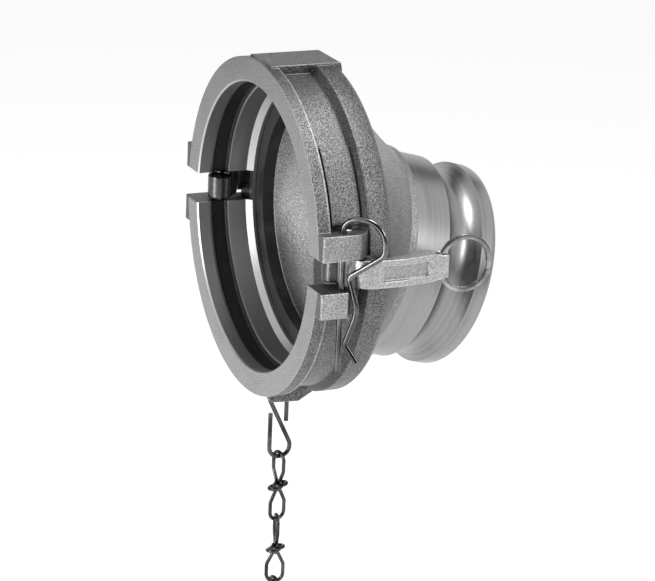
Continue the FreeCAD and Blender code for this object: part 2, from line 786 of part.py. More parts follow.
# Locking arm of the near side: the knuckle, the cam and the handle in one casting
arm = body("near_arm")
plan = sketch(arm, "arm_plan", "XY_Plane")
outline(plan, [
    ("cam_across - 1", "cam_back + 5.2"),
    ("pivot_across", "pivot_back - knuckle_radius * 0.6"),
    ("pivot_across + knuckle_radius * 0.88", "pivot_back + 1.6"),
    ("clip_across + 2.5", "pivot_back + 3"),
    ("arm_face", "slot_end"),
    ("arm_face", "arm_bend_back"),
    ("arm_tip_face", "arm_tip_back"),
    ("arm_tip_face", "arm_end - 3"),
    ("arm_tip_face - 3", "arm_end"),
    ("arm_tip_face - tip_thick + 3", "arm_end"),
    ("arm_tip_face - tip_thick", "arm_end - 3"),
    ("arm_tip_face - tip_thick", "arm_tip_back - 5"),
    ("ring_radius + arm_gap", "shoulder_end + 2"),
    ("ring_radius + arm_gap", "slot_end - 2.2"),
    ("pivot_across", "slot_end - 5.4"),
    ("cam_across - 1", "cam_back + 6"),
], {3: "14", 7: "3", 9: "3"})
thick_pad(arm, plan, "arm_height", "arm_plate")
round_end = sketch(arm, "knuckle_plan", "XY_Plane")
disc(round_end, "pivot_across", "pivot_back", "knuckle_radius")
thick_pad(arm, round_end, "arm_height", "knuckle")
cam = sketch(arm, "cam_plan", "XY_Plane")
disc(cam, "cam_across", "cam_back", "cam_radius")
thick_pad(arm, cam, "cam_height", "cam")
pivot = sketch(arm, "pivot_hole", "XY_Plane")
disc(pivot, "pivot_across", "pivot_back", "pin_radius + pin_running")
cut(arm, pivot, "arm_height + 2", "pivot_bore")
for way in ("", "-"):
    taper = sketch(arm, "tip_taper_up" if way == "" else "tip_taper_down", "YZ_Plane", z="arm_tip_face")
    outline(taper, [
        ("arm_tip_back - 2", way + "arm_height / 2"),
        ("arm_end", way + "arm_end_height / 2"),
        ("arm_end + 2", way + "arm_end_height / 2"),
        ("arm_end + 2", way + "(arm_height / 2 + 1)"),
        ("arm_tip_back - 2", way + "(arm_height / 2 + 1)"),
    ])
    cut(arm, taper, "tip_thick * 4", "tip_taper" if way == "" else "tip_taper_below")
panel = sketch(arm, "panel_profile", "YZ_Plane", z="panel_face")
outline(panel, [
    ("panel_start", "-panel_half_front"),
    ("panel_end", "-panel_half_rear"),
    ("panel_end", "panel_half_rear"),
    ("panel_start", "panel_half_front"),
])
cut(arm, panel, "arm_face - panel_face + 1", "panel", both=False, back=True)
eye = sketch(arm, "eye_profile", "YZ_Plane", x="pull_eye_back", z="pull_across")
outline(eye, [
    ("0", "-arm_height / 2 - 0.5"),
    ("eye_mouth", "-arm_height / 2 - 0.5"),
    ("eye_radius", "-eye_flare"),
    ("eye_radius", "eye_flare"),
    ("eye_mouth", "arm_height / 2 + 0.5"),
    ("0", "arm_height / 2 + 0.5"),
])
spin(arm, eye, "Groove", "eye", axis="V_Axis")

# Pivot pin, riveted over a little at both lugs
pivot_pin = body("near_pivot_pin")
pin = sketch(pivot_pin, "pin_profile", "YZ_Plane", x="pivot_back", z="pivot_across")
outline(pin, [
    ("0", "-slot_half - lug_height - pin_head"),
    ("pin_radius - 0.5", "-slot_half - lug_height - pin_head"),
    ("pin_radius", "-slot_half - lug_height - pin_head + 0.5"),
    ("pin_radius", "slot_half + lug_height + pin_head - 0.5"),
    ("pin_radius - 0.5", "slot_half + lug_height + pin_head"),
    ("0", "slot_half + lug_height + pin_head"),
])
spin(pivot_pin, pin, "Revolution", "pin", axis="V_Axis")

# Split pull ring, two coils of flat wire that lie against each other
pull = body("near_pull_ring")
coils = sketch(pull, "coil_profile", "XY_Plane", x="pull_across", y="pull_eye_back + pull_outer - pull_wire / 2")
outline(coils, [
    ("-pull_wire / 2", "pull_outer - pull_wire + 0.3"),
    ("-pull_wire / 2 + 0.3", "pull_outer - pull_wire"),
    ("pull_wire / 2 - 0.3", "pull_outer - pull_wire"),
    ("pull_wire / 2", "pull_outer - pull_wire + 0.3"),
    ("pull_wire / 2", "pull_outer - 0.3"),
    ("pull_wire / 2 - 0.3", "pull_outer"),
    ("0.2", "pull_outer"),
    ("0", "pull_outer - 0.5"),
    ("-0.2", "pull_outer"),
    ("-pull_wire / 2 + 0.3", "pull_outer"),
    ("-pull_wire / 2", "pull_outer - 0.3"),
])
spin(pull, coils, "Revolution", "coils")


def wire_path(made, corners, rounds):
    # An open path of straight runs, each corner rounded by a tangent arc.
    points = [vec(val(x), val(y), 0) for x, y in corners]
    edges = []
    last = points[0]
    for i in range(1, len(points) - 1):
        back = (points[i - 1] - points[i]).normalize()
        onward = (points[i + 1] - points[i]).normalize()
        angle = math.acos(max(-1, min(1, back.dot(onward))))
        reach = val(rounds[i - 1]) / math.tan(angle / 2)
        start = points[i] + back * reach
        stop = points[i] + onward * reach
        middle = points[i] + (back + onward).normalize() * (val(rounds[i - 1]) / math.sin(angle / 2))
        tip = middle + (points[i] - middle).normalize() * val(rounds[i - 1])
        if (start - last).Length > 0.01:
            edges.append(Part.LineSegment(last, start))
        edges.append(Part.ArcOfCircle(start, tip, stop))
        last = stop
    edges.append(Part.LineSegment(last, points[-1]))
    for edge in edges:
        made.addGeometry(edge, False)
    for i in range(len(edges) - 1):
        one = edges[i].EndPoint.distanceToPoint(edges[i + 1].StartPoint) < 0.001
        made.addConstraint(Sketcher.Constraint("Coincident", i, 2 if one else 1, i + 1, 1))
    return len(edges)


def sweep(owner, path, profile, name):
    feature = owner.newObject("PartDesign::AdditivePipe", name)
    feature.Profile = (profile, [""])
    feature.Spine = (path, ["Edge%d" % (i + 1) for i in range(path.GeometryCount)])
    return feature


def wire_solid(points, rounds, radius):
    # A round wire swept along straight runs and tangent arcs in space.
    edges = []
    last = points[0]
    for i in range(1, len(points) - 1):
        back = (points[i - 1] - points[i]).normalize()
        onward = (points[i + 1] - points[i]).normalize()
        angle = math.acos(max(-1, min(1, back.dot(onward))))
        reach = rounds[i - 1] / math.tan(angle / 2)
        start = points[i] + back * reach
        stop = points[i] + onward * reach
        middle = points[i] + (back + onward).normalize() * (rounds[i - 1] / math.sin(angle / 2))
        tip = middle + (points[i] - middle).normalize() * rounds[i - 1]
        if (start - last).Length > 0.01:
            edges.append(Part.LineSegment(last, start).toShape())
        edges.append(Part.Arc(start, tip, stop).toShape())
        last = stop
    if (points[-1] - last).Length > 0.01:
        edges.append(Part.LineSegment(last, points[-1]).toShape())
    spine = Part.Wire(edges)
    circle = Part.Wire([Part.Circle(points[0], points[1] - points[0], radius).toShape()])
    return spine.makePipeShell([circle], True, False)


def piece(name, shape, placement=None):
    made = doc.addObject("Part::Feature", name)
    made.Label = name
    made.Shape = shape
    if placement is not None:
        made.Placement = placement
    return made


# Hairpin clip of the near side: the straight leg stands in both lugs, the other leg waves round outside them.
turn = vec(math.cos(math.radians(val("clip_plane"))), math.sin(math.radians(val("clip_plane"))), 0)
foot = vec(val("clip_across"), val("clip_back"), 0)


def on_clip(out, height):
    return foot + turn * val(out) + vec(0, 0, val(height))


clip_shape = wire_solid([
    on_clip("0", "-clip_bottom"),
    on_clip("0", "clip_shoulder"),
    on_clip("clip_shoulder_out", "clip_top"),
    on_clip("hoop_radius * 2", "clip_top"),
    on_clip("hoop_radius * 2", "hoop_low"),
    on_clip("neck_out", "neck_height"),
    on_clip("belly_out", "belly_height"),
    on_clip("pinch_out", "pinch_height"),
    on_clip("flare_out", "flare_height"),
], [
    6,
    val("hoop_radius - 0.3"),
    val("hoop_radius"),
    6,
    3.2,
    20,
    3,
], val("clip_wire"))
near_clip = piece("near_clip", clip_shape)

# Closed hook between the ear and the first link, bent in the plane X = 0
hole_y = val("ear_front + ear_width / 2")
hole_z = -val("ear_hole_drop")
loop = val("hook_loop")
low = val("hook_lower_loop")
reach = val("hook_length")
hook_points = [
    vec(0, hole_y + loop, hole_z - 21),
    vec(0, hole_y + loop, hole_z),
    vec(0, hole_y - loop, hole_z),
    vec(0, hole_y - loop, hole_z - 7),
    vec(0, hole_y + loop + 2.8, hole_z - reach + 8),
    vec(0, hole_y + loop + 2.8, hole_z - reach),
    vec(0, hole_y + loop + 2.8 - low * 2, hole_z - reach),
    vec(0, hole_y + loop + 2.8 - low * 2, hole_z - 15.5),
]
hook = piece("chain_hook", wire_solid(hook_points, [4.5, 4.3, 5, 4, 6, 6], val("hook_wire")))

# Chain link: a loop above and a loop below, a quarter turn apart, tied by a knot of two turns in the middle
wire = val("link_wire")
half = val("link_length / 2 - link_wire")
wide = val("link_width / 2 - link_wire")
waist_x = val("link_waist")


def loop_wire(up, along):
    side = vec(1, 0, 0) if along else vec(0, 1, 0)
    rise = vec(0, 0, 1 if up else -1)
    return wire_solid([
        side * -waist_x - rise * 3,
        side * -waist_x + rise * 2.5,
        side * -wide + rise * 10,
        side * -wide + rise * half,
        side * wide + rise * half,
        side * wide + rise * 10,
        side * waist_x + rise * 2.5,
        side * waist_x - rise * 3,
    ], [3, 4, wide * 0.98, wide * 0.98, 4, 3], wire)


def knot_turn(height, aside, tilt):
    ring = Part.makeTorus(val("knot_radius"), wire)
    centre = vec(aside * 0.8, aside * 0.6, height)
    ring.Placement = FreeCAD.Placement(centre, FreeCAD.Rotation(vec(0.6, -0.8, 0), tilt))
    return ring


pitch = val("knot_pitch")
link_shape = loop_wire(True, True).fuse([
    loop_wire(False, False),
    knot_turn(pitch / 2, val("knot_shift"), val("knot_tilt")),
    knot_turn(-pitch / 2, -val("knot_shift"), val("knot_tilt")),
])
link_step = val("link_length - link_wire * 4 - link_play")
chain_y = hole_y + loop + 2.8 - low
links = []
for number in range(1, 6):
    centre = hole_z - reach + val("hook_wire + link_wire + link_play") - half - (number - 1) * link_step
    place = FreeCAD.Placement(vec(0, chain_y, centre), FreeCAD.Rotation(vec(0, 0, 1), val("twist_%d" % number)))
    links.append(piece("chain_link_%d" % number, link_shape, place))

# Open hook at the free end of the chain
end_shape = wire_solid([
    vec(-4.2, 0, -8),
    vec(-4.2, 0, 0),
    vec(4.2, 0, 0),
    vec(4.2, 0, -12),
    vec(-4.6, 0, -22),
    vec(-4.6, 0, -34),
    vec(6.6, 0, -34),
    vec(6.6, 0, -25),
], [4.1, 4.1, 6, 6, 5.5, 5.5], val("hook_wire"))
end_hook = piece("end_hook", end_shape)
end_z = centre - half + val("link_wire + hook_wire + link_play")
end_hook.Placement = FreeCAD.Placement(vec(0, chain_y, end_z), FreeCAD.Rotation(vec(0, 0, 1), val("twist_5")))


def other_side(source, name):
    made = doc.addObject("Part::Mirroring", name)
    made.Label = name
    made.Source = source
    made.Base = vec(0, 0, 0)
    made.Normal = vec(1, 0, 0)
    return made


# The far side is the mirror of the near side.
far_arm = other_side(arm, "far_arm")
far_pin = other_side(pivot_pin, "far_pivot_pin")
far_pull = other_side(pull, "far_pull_ring")
far_clip = other_side(near_clip, "far_clip")

doc.recompute()

parts = [casting, gasket, arm, far_arm, pivot_pin, far_pin, pull, far_pull, near_clip, far_clip, hook]
parts.extend(links)
parts.append(end_hook)
faults = []
for item in doc.Objects:
    if "Invalid" in item.State or "Error" in item.State:
        faults.append(item.Name)
for item in parts:
    if item.Shape.isNull() or not item.Shape.isValid() or len(item.Shape.Solids) != 1:
        faults.append(item.Label)
if faults:
    raise RuntimeError("these objects failed: " + ", ".join(faults))
os.makedirs("parts", exist_ok=True)
for item in parts:
    item.Shape.exportStep(os.path.join("parts", item.Label + ".step"))
    box = item.Shape.BoundBox
    print("%-16s %9.0f mm3  X %7.1f %7.1f  Y %7.1f %7.1f  Z %7.1f %7.1f" % (
        item.Label, item.Shape.Volume, box.XMin, box.XMax, box.YMin, box.YMax, box.ZMin, box.ZMax))
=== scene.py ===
"""Cam and groove elbow adapter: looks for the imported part."""
import math

import bmesh
import bpy
from mathutils import Matrix, Vector


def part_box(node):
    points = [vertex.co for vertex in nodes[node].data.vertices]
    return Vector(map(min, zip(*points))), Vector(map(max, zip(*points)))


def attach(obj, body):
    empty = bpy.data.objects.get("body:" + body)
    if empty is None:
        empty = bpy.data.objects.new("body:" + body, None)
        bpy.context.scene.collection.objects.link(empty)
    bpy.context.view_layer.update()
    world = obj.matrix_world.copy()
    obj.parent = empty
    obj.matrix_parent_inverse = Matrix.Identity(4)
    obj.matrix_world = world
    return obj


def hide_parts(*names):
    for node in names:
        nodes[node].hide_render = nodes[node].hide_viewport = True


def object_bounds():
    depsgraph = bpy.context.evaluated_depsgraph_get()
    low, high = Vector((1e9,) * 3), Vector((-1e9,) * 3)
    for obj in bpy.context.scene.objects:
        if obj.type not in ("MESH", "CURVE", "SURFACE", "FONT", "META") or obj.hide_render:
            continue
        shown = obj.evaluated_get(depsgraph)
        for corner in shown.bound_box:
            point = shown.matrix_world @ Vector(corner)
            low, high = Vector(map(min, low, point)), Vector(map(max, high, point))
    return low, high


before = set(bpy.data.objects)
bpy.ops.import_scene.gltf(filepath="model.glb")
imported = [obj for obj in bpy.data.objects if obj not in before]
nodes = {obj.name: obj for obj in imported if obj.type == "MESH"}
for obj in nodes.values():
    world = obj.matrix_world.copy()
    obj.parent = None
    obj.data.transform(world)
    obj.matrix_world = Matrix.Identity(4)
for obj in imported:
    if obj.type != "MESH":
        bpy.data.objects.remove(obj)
cad_low, cad_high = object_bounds()
bpy.ops.object.select_all(action="DESELECT")

# Lengths are in metres. The small end leans by fifteen degrees and its axis starts just behind the mouth's face.
MM = 0.001
LEAN = math.radians(15)
SMALL_AXIS_START = 0.4 * MM

# Where the casting's skins change: behind the mouth, by radius, and along the small axis
FRONT_LAND_END = 9.8 * MM
REAR_LAND_START = 19.2 * MM
REAR_LAND_END = 36.5 * MM
BORE_INNER = 78.5 * MM
BORE_OUTER = 84.35 * MM
BLOCK_HALF = 15.7 * MM
BLOCK_TOP = 97.75 * MM
BLOCK_REAR = 44.4 * MM
SMALL_END_FROM = 60 * MM
SMALL_END_TO = 62 * MM

# The arm's cam and the panel in its outer face
CAM_ACROSS = 85 * MM
CAM_BACK = 14.9 * MM
PANEL_ACROSS = 103.59 * MM
PANEL_BACK = 58.7 * MM
PANEL_CUT = (4 * MM, 12.9 * MM, 8.3 * MM)
PANEL_LEAN = math.radians(9.46)

# The flat wire of the split rings
FLAT_WIDTH = 1.15 * MM
FLAT_DEPTH = 2.9 * MM
FLAT_ROUND = 0.28 * MM
TURN_PITCH = 1.2 * MM
FLAT_INSET = 1.5 * MM


# Node helpers

def feed(tree, part, socket):
    if isinstance(part, bpy.types.NodeSocket):
        tree.links.new(part, socket)
    else:
        socket.default_value = part


def number(tree, operation, *parts, clamp=False):
    made = tree.nodes.new("ShaderNodeMath")
    made.operation = operation
    made.use_clamp = clamp
    for place, part in enumerate(parts):
        feed(tree, part, made.inputs[place])
    return made.outputs[0]


def times(tree, first, second):
    return number(tree, "MULTIPLY", first, second)


def plus(tree, first, second):
    return number(tree, "ADD", first, second)


def way_from_axis(tree, across, along):
    return number(tree, "SQRT", plus(tree, times(tree, across, across), times(tree, along, along)))


def ramp(tree, value, from_low, from_high, to_low=0.0, to_high=1.0):
    made = tree.nodes.new("ShaderNodeMapRange")
    made.interpolation_type = "SMOOTHSTEP"
    feed(tree, value, made.inputs["Value"])
    feed(tree, from_low, made.inputs["From Min"])
    feed(tree, from_high, made.inputs["From Max"])
    feed(tree, to_low, made.inputs["To Min"])
    feed(tree, to_high, made.inputs["To Max"])
    return made.outputs["Result"]


def between(tree, value, low, high, soft=0.15 * MM):
    rising = ramp(tree, value, low - soft, low + soft)
    falling = ramp(tree, value, high - soft, high + soft, 1.0, 0.0)
    return number(tree, "MULTIPLY", rising, falling)


def blend_numbers(tree, share, first, second):
    made = tree.nodes.new("ShaderNodeMix")
    made.data_type = "FLOAT"
    feed(tree, share, made.inputs[0])
    feed(tree, first, made.inputs[2])
    feed(tree, second, made.inputs[3])
    return made.outputs[0]


def blend_colours(tree, share, first, second):
    made = tree.nodes.new("ShaderNodeMix")
    made.data_type = "RGBA"
    feed(tree, share, made.inputs[0])
    feed(tree, first, made.inputs[6])
    feed(tree, second, made.inputs[7])
    return made.outputs[2]


def grain(tree, place, scale, detail=2.0, roughness=0.5, distortion=0.0):
    made = tree.nodes.new("ShaderNodeTexNoise")
    feed(tree, place, made.inputs["Vector"])
    made.inputs["Scale"].default_value = scale
    made.inputs["Detail"].default_value = detail
    made.inputs["Roughness"].default_value = roughness
    made.inputs["Distortion"].default_value = distortion
    return made.outputs[0]


def point(tree, x, y, z):
    made = tree.nodes.new("ShaderNodeCombineXYZ")
    feed(tree, x, made.inputs[0])
    feed(tree, y, made.inputs[1])
    feed(tree, z, made.inputs[2])
    return made.outputs[0]


def bump(tree, height, distance, strength, normal=None):
    made = tree.nodes.new("ShaderNodeBump")
    feed(tree, height, made.inputs["Height"])
    feed(tree, strength, made.inputs["Strength"])
    made.inputs["Distance"].default_value = distance
    if normal is not None:
        feed(tree, normal, made.inputs["Normal"])
    return made.outputs[0]


def grey(level, warm=0.0):
    return (level + warm, level, level - warm, 1.0)


def soft_edge(tree, radius):
    # The rounding that a casting's edges have, and how near a point is to an edge
    rounded = tree.nodes.new("ShaderNodeBevel")
    rounded.samples = 6
    rounded.inputs["Radius"].default_value = radius
    flat = tree.nodes.new("ShaderNodeNewGeometry")
    facing = tree.nodes.new("ShaderNodeVectorMath")
    facing.operation = "DOT_PRODUCT"
    tree.links.new(rounded.outputs[0], facing.inputs[0])
    tree.links.new(flat.outputs["Normal"], facing.inputs[1])
    near = ramp(tree, number(tree, "SUBTRACT", 1.0, facing.outputs["Value"]), 0.02, 0.22)
    return rounded.outputs[0], near


def painted_corner_shade(tree, reach):
    # Painted shade: the colour is darkened in inner corners, found by ambient occlusion
    corner = tree.nodes.new("ShaderNodeAmbientOcclusion")
    corner.samples = 6
    corner.inputs["Distance"].default_value = reach
    return ramp(tree, corner.outputs["AO"], 0.35, 0.85, 1.0, 0.0)


def start_finish(name):
    made = bpy.data.materials.new(name)
    made.use_nodes = True
    tree = made.node_tree
    tree.nodes.clear()
    shader = tree.nodes.new("ShaderNodeBsdfPrincipled")
    out = tree.nodes.new("ShaderNodeOutputMaterial")
    tree.links.new(shader.outputs[0], out.inputs[0])
    where = tree.nodes.new("ShaderNodeTexCoord").outputs["Object"]
    split = tree.nodes.new("ShaderNodeSeparateXYZ")
    tree.links.new(where, split.inputs[0])
    return made, tree, shader, where, split.outputs


def dress(name, finish):
    slots = nodes[name].material_slots
    if not slots:
        nodes[name].data.materials.append(finish)
    for slot in slots:
        slot.material = finish


# Cast aluminium with its turned bands

def casting_finish():
    made, tree, shader, where, (x, y, z) = start_finish("cast_and_turned_aluminium")
    radius = way_from_axis(tree, x, z)
    behind = number(tree, "SUBTRACT", y, SMALL_AXIS_START)
    run = number(tree, "SUBTRACT", times(tree, behind, math.cos(LEAN)),
                 times(tree, z, math.sin(LEAN)))
    rise = plus(tree, times(tree, behind, math.sin(LEAN)),
                times(tree, z, math.cos(LEAN)))
    reach = way_from_axis(tree, x, rise)

    # Which skin a point has
    in_bore = between(tree, radius, BORE_INNER, BORE_OUTER)
    front_land = times(tree, in_bore, between(tree, y, -1 * MM, FRONT_LAND_END))
    rear_land = times(tree, in_bore, between(tree, y, REAR_LAND_START, REAR_LAND_END))
    mouth_face = times(tree, between(tree, y, -1 * MM, 0.12 * MM, 0.03 * MM),
                       ramp(tree, radius, 97.5 * MM, 98.1 * MM, 1.0, 0.0))
    male_end = times(tree, ramp(tree, run, 74.3 * MM, 74.8 * MM),
                     ramp(tree, reach, 48.0 * MM, 48.6 * MM))
    turned = number(tree, "MAXIMUM", number(tree, "MAXIMUM", front_land, rear_land), male_end)
    turned = number(tree, "MAXIMUM", turned, times(tree, mouth_face, 0.25), clamp=True)
    relief = times(tree, between(tree, y, FRONT_LAND_END, REAR_LAND_START),
                   between(tree, radius, 82.0 * MM, 86.5 * MM))
    inside = times(tree, ramp(tree, radius, 78.0 * MM, 81.0 * MM, 1.0, 0.0),
                   between(tree, y, 36 * MM, 90 * MM))
    inside = times(tree, inside, ramp(tree, reach, 66 * MM, 69 * MM, 1.0, 0.25))

    # Sand grain of the cast skin, with painted highlights on its edges and rim ridge, and painted shade and
    # shadows in its corners and at the feet of its steps
    coarse = grain(tree, where, 1050, 3.0, 0.62)
    fine = grain(tree, where, 2600, 2.0, 0.6)
    waves = grain(tree, where, 110, 2.0, 0.5)
    patches = grain(tree, where, 30, 3.0, 0.55)
    skin = plus(tree, times(tree, coarse, 0.65), times(tree, fine, 0.35))
    skin = plus(tree, skin, times(tree, waves, 0.5))
    rounded, edge = soft_edge(tree, 1.1 * MM)
    cast_normal = bump(tree, skin, 0.34 * MM, 0.9, rounded)
    speck = ramp(tree, coarse, 0.38, 0.68)
    glint = ramp(tree, fine, 0.52, 0.72)
    lug_face = ramp(tree, number(tree, "ABSOLUTE", x), 101.6 * MM, 102.4 * MM)
    cone_skin = times(tree, ramp(tree, y, 45 * MM, 54 * MM), 0.3)
    rim_skin = times(tree, mouth_face, ramp(tree, patches, 0.35, 0.62, 0.45, 0.8))
    clean = number(tree, "MAXIMUM", number(tree, "MAXIMUM", lug_face, rim_skin), cone_skin, clamp=True)
    dark_skin = blend_colours(tree, speck, grey(0.045), grey(0.21, 0.001))
    light_skin = blend_colours(tree, speck, grey(0.27), grey(0.68, 0.002))
    cast_colour = blend_colours(tree, clean, dark_skin, light_skin)
    cast_colour = blend_colours(tree, times(tree, glint, 0.62), cast_colour, grey(0.78))
    cast_colour = blend_colours(tree, ramp(tree, patches, 0.35, 0.68, 0.0, 0.3), cast_colour, grey(0.1))
    # Painted highlight: the skin is lighter along its rounded edges
    cast_colour = blend_colours(tree, times(tree, edge, 0.5), cast_colour, grey(0.62))
    # Painted shade: the skin is darkened towards black in its inner corners and recesses
    corner_shade = painted_corner_shade(tree, 7 * MM)
    cast_colour = blend_colours(tree, times(tree, corner_shade, 0.8), cast_colour, grey(0.02))
    rim = between(tree, radius, 96.6 * MM, 97.85 * MM, 0.1 * MM)
    ridge = times(tree, between(tree, y, 6.6 * MM, 7.7 * MM), rim)
    relief_floor = between(tree, radius, 92 * MM, 96.4 * MM)
    # Painted shadow: a dark line on the relief floor just behind the rim
    rim_foot_shadow = times(tree, between(tree, y, 7.9 * MM, 9.6 * MM, 0.5 * MM), relief_floor)
    # Painted shadow: a dark zone at the foot of the rear band's front wall
    band_foot_shadow = times(tree, between(tree, y, 25.6 * MM, 31.4 * MM, 1.2 * MM),
                      between(tree, radius, 92 * MM, 97.2 * MM))
    cast_colour = blend_colours(tree, times(tree, band_foot_shadow, 0.6), cast_colour, grey(0.03))
    # Painted highlight: a light line along the rim's rear edge, broken up by the grain
    ridge_highlight = times(tree, ridge, ramp(tree, coarse, 0.34, 0.6, 0.15, 0.7))
    cast_colour = blend_colours(tree, ridge_highlight, cast_colour, grey(0.5))
    cast_colour = blend_colours(tree, times(tree, rim_foot_shadow, 0.5), cast_colour, grey(0.03))
    cast_colour = blend_colours(tree, times(tree, relief, 0.8), cast_colour, grey(0.035))
    cast_rough = ramp(tree, fine, 0.3, 0.7, 0.34, 0.52)

    # Turning marks run round the axis that each band was cut on
    socket_ways = point(tree, radius, y, 0.0)
    small_ways = point(tree, reach, run, 0.0)
    ways = tree.nodes.new("ShaderNodeMix")
    ways.data_type = "VECTOR"
    feed(tree, ramp(tree, run, SMALL_END_FROM, SMALL_END_TO), ways.inputs[0])
    feed(tree, socket_ways, ways.inputs[4])
    feed(tree, small_ways, ways.inputs[5])
    passes = grain(tree, ways.outputs[1], 5200, 2.0, 0.55)
    broad = grain(tree, ways.outputs[1], 560, 2.0, 0.5)
    scuffs = grain(tree, where, 260, 4.0, 0.7, 0.4)
    marks = plus(tree, times(tree, passes, 0.6), times(tree, broad, 0.4))
    marks = plus(tree, marks, times(tree, scuffs, 0.18))
    turned_normal = bump(tree, marks, 0.012 * MM, 0.5)
    turned_colour = blend_colours(tree, ramp(tree, broad, 0.3, 0.7), grey(0.25), grey(0.31))
    on_socket = ramp(tree, run, SMALL_END_FROM, SMALL_END_TO, 0.75, 0.0)
    turned_colour = blend_colours(tree, on_socket, turned_colour, grey(0.5))
    turned_colour = blend_colours(tree, ramp(tree, scuffs, 0.52, 0.8, 0.0, 0.3), turned_colour, grey(0.22))
    turned_rough = plus(tree, ramp(tree, passes, 0.3, 0.7, 0.26, 0.36),
                        ramp(tree, scuffs, 0.5, 0.8, 0.0, 0.12))

    colour = blend_colours(tree, turned, cast_colour, turned_colour)
    colour = blend_colours(tree, times(tree, inside, 0.3), colour, grey(0.34))
    turned_rough = plus(tree, turned_rough, ramp(tree, run, SMALL_END_FROM, SMALL_END_TO, 0.06, 0.02))
    rough = blend_numbers(tree, turned, cast_rough, turned_rough)
    normal = tree.nodes.new("ShaderNodeMix")
    normal.data_type = "VECTOR"
    feed(tree, turned, normal.inputs[0])
    feed(tree, cast_normal, normal.inputs[4])
    feed(tree, turned_normal, normal.inputs[5])
    feed(tree, colour, shader.inputs["Base Color"])
    feed(tree, rough, shader.inputs["Roughness"])
    feed(tree, normal.outputs[1], shader.inputs["Normal"])
    shader.inputs["Metallic"].default_value = 1.0
    return made


# The arms are cast smoother than the ring, and their cams are dark and polished by use.

def arm_finish():
    made, tree, shader, where, (x, y, z) = start_finish("arm_cast_aluminium")
    side = number(tree, "ABSOLUTE", x)
    cam_x = number(tree, "SUBTRACT", side, CAM_ACROSS)
    cam_y = number(tree, "SUBTRACT", y, CAM_BACK)
    cam_way = way_from_axis(tree, cam_x, cam_y)
    cam = ramp(tree, cam_way, 7.3 * MM, 8.2 * MM, 1.0, 0.0)
    panel = times(tree, between(tree, y, 36.8 * MM, 64.6 * MM, 0.4 * MM),
                  ramp(tree, number(tree, "ABSOLUTE", z), 3.6 * MM, 4.4 * MM, 1.0, 0.0))
    panel = times(tree, panel, ramp(tree, side, 99.6 * MM, 100.0 * MM))
    coarse = grain(tree, where, 900, 3.0, 0.6)
    fine = grain(tree, where, 2600, 2.0, 0.6)
    swell = grain(tree, where, 120, 2.0, 0.5)
    skin = plus(tree, times(tree, coarse, 0.6), times(tree, fine, 0.4))
    skin = plus(tree, skin, times(tree, swell, 0.7))
    rounded, edge = soft_edge(tree, 0.8 * MM)
    cast_normal = bump(tree, skin, 0.2 * MM, 0.75, rounded)
    colour = blend_colours(tree, ramp(tree, coarse, 0.34, 0.68), grey(0.36), grey(0.64))
    colour = blend_colours(tree, times(tree, panel, 0.3), colour, grey(0.2))
    # Painted shade: the arm is darkened in its inner corners
    colour = blend_colours(tree, times(tree, painted_corner_shade(tree, 2.5 * MM), 0.85), colour, grey(0.02))
    # Painted highlight: the arm is lighter along its rounded edges
    colour = blend_colours(tree, times(tree, edge, 0.4), colour, grey(0.66))
    colour = blend_colours(tree, cam, colour, grey(0.09))
    rough = blend_numbers(tree, cam, ramp(tree, fine, 0.3, 0.7, 0.28, 0.42), 0.16)
    feed(tree, colour, shader.inputs["Base Color"])
    feed(tree, rough, shader.inputs["Roughness"])
    feed(tree, cast_normal, shader.inputs["Normal"])
    shader.inputs["Metallic"].default_value = 1.0
    return made


def wire_finish(name, dark, light, rough_low, rough_high, pit):
    # Drawn wire: fine grain, small dull spots and a darker coat in places
    made, tree, shader, where, _ = start_finish(name)
    spots = grain(tree, where, 520, 4.0, 0.65, 0.3)
    fine = grain(tree, where, 3600, 2.0, 0.6)
    cloud = grain(tree, where, 90, 3.0, 0.5)
    colour = blend_colours(tree, ramp(tree, cloud, 0.34, 0.66), grey(dark), grey(light))
    colour = blend_colours(tree, ramp(tree, spots, 0.56, 0.74, 0.0, 0.6), colour, grey(dark * 0.45))
    rough = plus(tree, ramp(tree, spots, 0.3, 0.75, rough_low, rough_high),
                 ramp(tree, fine, 0.3, 0.7, 0.0, 0.05))
    height = plus(tree, times(tree, spots, 0.7), times(tree, fine, 0.3))
    feed(tree, colour, shader.inputs["Base Color"])
    feed(tree, rough, shader.inputs["Roughness"])
    feed(tree, bump(tree, height, pit, 0.5), shader.inputs["Normal"])
    shader.inputs["Metallic"].default_value = 1.0
    return made


def rubber_finish():
    made, tree, shader, where, _ = start_finish("black_rubber")
    bloom = grain(tree, where, 70, 4.0, 0.6)
    fine = grain(tree, where, 2400, 3.0, 0.6)
    colour = blend_colours(tree, ramp(tree, bloom, 0.4, 0.72), grey(0.012), grey(0.035))
    feed(tree, colour, shader.inputs["Base Color"])
    feed(tree, ramp(tree, bloom, 0.35, 0.7, 0.42, 0.6), shader.inputs["Roughness"])
    feed(tree, bump(tree, fine, 0.08 * MM, 0.5, soft_edge(tree, 0.6 * MM)[0]), shader.inputs["Normal"])
    return made


casting_skin = casting_finish()
arm_skin = arm_finish()
clip_steel = wire_finish("clip_wire_steel", 0.08, 0.17, 0.12, 0.24, 0.02 * MM)
chain_steel = wire_finish("chain_wire_steel", 0.035, 0.1, 0.16, 0.3, 0.04 * MM)
ring_steel = wire_finish("pull_ring_steel", 0.2, 0.42, 0.14, 0.28, 0.02 * MM)
pin_steel = wire_finish("pin_steel", 0.3, 0.48, 0.2, 0.34, 0.03 * MM)
gasket_rubber = rubber_finish()

dress("face_gasket", gasket_rubber)
for name in ("near_pivot_pin", "far_pivot_pin"):
    dress(name, pin_steel)
for name in ("near_clip", "far_clip"):
    dress(name, clip_steel)
for name in ("chain_hook", "chain_link_1", "chain_link_2", "chain_link_3", "chain_link_4", "chain_link_5",
             "end_hook"):
    dress(name, chain_steel)

# Pieces that start from a node's own mesh

